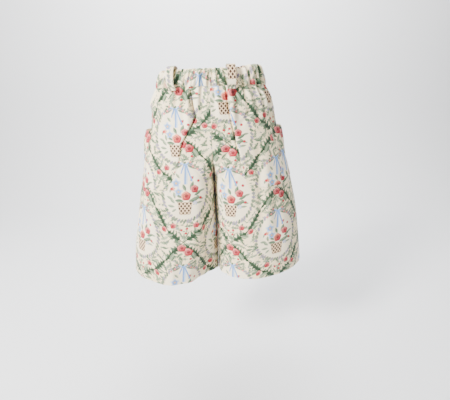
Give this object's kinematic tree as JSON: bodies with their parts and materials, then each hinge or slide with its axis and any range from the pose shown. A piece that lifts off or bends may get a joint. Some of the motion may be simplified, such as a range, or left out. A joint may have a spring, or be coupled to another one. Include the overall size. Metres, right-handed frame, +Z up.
{
  "type": "pair of culottes",
  "caption": "Knee-length culottes in printed cotton, with a gathered elastic waistband, belt loops, and patch pockets on the side seams.",
  "frame": {"origin": "middle of the waist opening, level with the top of the waistband, where the wearer's waist holds the garment up", "axes": "+Z up, -Y out of the front, +X to the wearer's left"},
  "size_m": [0.5735, 0.2711, 0.6528],
  "materials": {
    "printed_cotton": "matte mid-weight furnishing cotton with a floral trellis print"
  },
  "bodies": {
    "root": {"front_left": "printed_cotton", "front_right": "printed_cotton", "back_left": "printed_cotton", "back_right": "printed_cotton", "waistband": "printed_cotton", "belt_loop_front_left": "printed_cotton", "belt_loop_front_right": "printed_cotton", "belt_loop_back_left": "printed_cotton", "belt_loop_back_right": "printed_cotton", "pocket_left": "printed_cotton", "pocket_right": "printed_cotton"}
  },
  "joints": []
}
